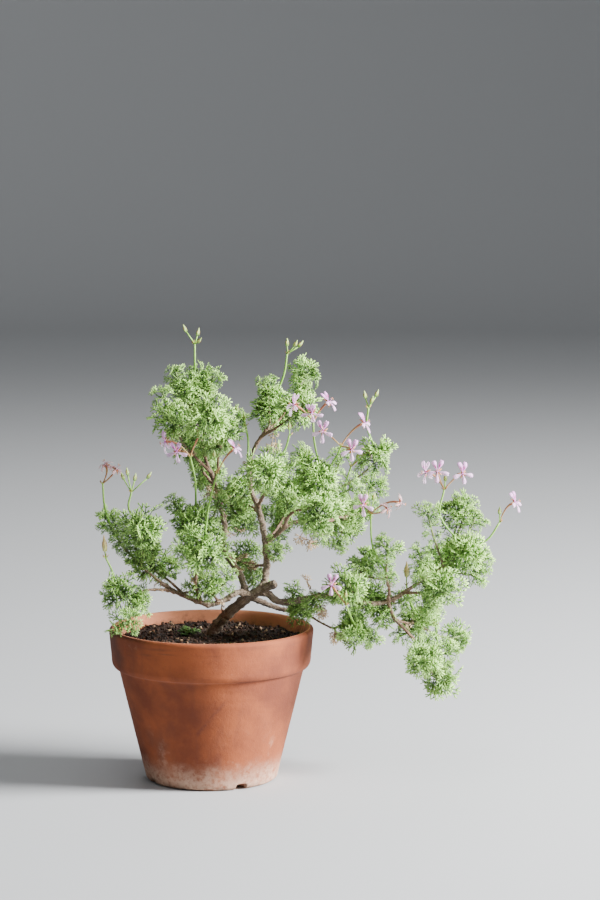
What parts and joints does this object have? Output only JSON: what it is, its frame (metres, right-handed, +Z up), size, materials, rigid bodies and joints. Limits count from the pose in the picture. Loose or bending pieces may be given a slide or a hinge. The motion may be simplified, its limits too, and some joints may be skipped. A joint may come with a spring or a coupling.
{
  "type": "potted pelargonium",
  "caption": "Old, leaning pelargonium with crooked woody branches, tufts of finely cut leaves and small five-petalled blooms, in a plain clay flowerpot filled with soil.",
  "frame": {"origin": "middle of the ring that the pot stands on, at the level of the ground", "axes": "+Z up along the pot's axis; +X towards the side that the trunk leans and the longest branch reaches; -Y is the side that the plant shows to a viewer in front of it"},
  "size_m": [0.3316, 0.1765, 0.3536],
  "materials": {
    "terracotta": "matte",
    "soil": "matte",
    "seedling": "matte",
    "bark": "matte",
    "foliage": "matte",
    "petal": "matte",
    "faded_petal": "matte"
  },
  "bodies": {
    "root": {"pot": "terracotta", "soil": "soil", "soil_seedling": "seedling", "woody_stems": "bark", "spray_left_high": "foliage", "spray_left_back": "foliage", "spray_left_low": "foliage", "spray_centre_pale": "foliage", "spray_centre_low": "foliage", "spray_top_left": "foliage", "spray_left_top_front": "foliage", "spray_left_top_side": "foliage", "spray_left_top_back": "foliage", "spray_top_centre": "foliage", "spray_middle_stalk": "foliage", "spray_top": "foliage", "spray_top_right": "foliage", "spray_top_back": "foliage", "spray_middle_front": "foliage", "spray_middle_dark": "foliage", "spray_middle_back": "foliage", "spray_low_back": "foliage", "spray_sprig": "foliage", "spray_right_high": "foliage", "spray_right_front": "foliage", "spray_right_side": "foliage", "spray_right_top": "foliage", "spray_lower_front": "foliage", "spray_lower_middle": "foliage", "spray_lower_back": "foliage", "spray_lower_upright": "foliage", "spray_low_front": "foliage", "spray_low_middle": "foliage", "spray_far_right": "foliage", "spray_far_back": "foliage", "spray_far_front": "foliage", "spray_low_far": "foliage", "spray_lowest": "foliage", "bloom_1": "faded_petal", "bloom_2": "faded_petal", "bloom_3": "petal", "bloom_4": "petal", "bloom_5": "petal", "bloom_6": "petal", "bloom_7": "petal", "bloom_8": "petal", "bloom_9": "petal", "bloom_10": "petal", "bloom_11": "petal", "bloom_12": "petal", "bloom_13": "faded_petal", "bloom_14": "petal", "bloom_15": "faded_petal", "bloom_16": "faded_petal", "bloom_17": "petal", "bloom_18": "petal", "bloom_19": "petal", "bloom_20": "petal", "bloom_21": "petal"}
  },
  "joints": []
}
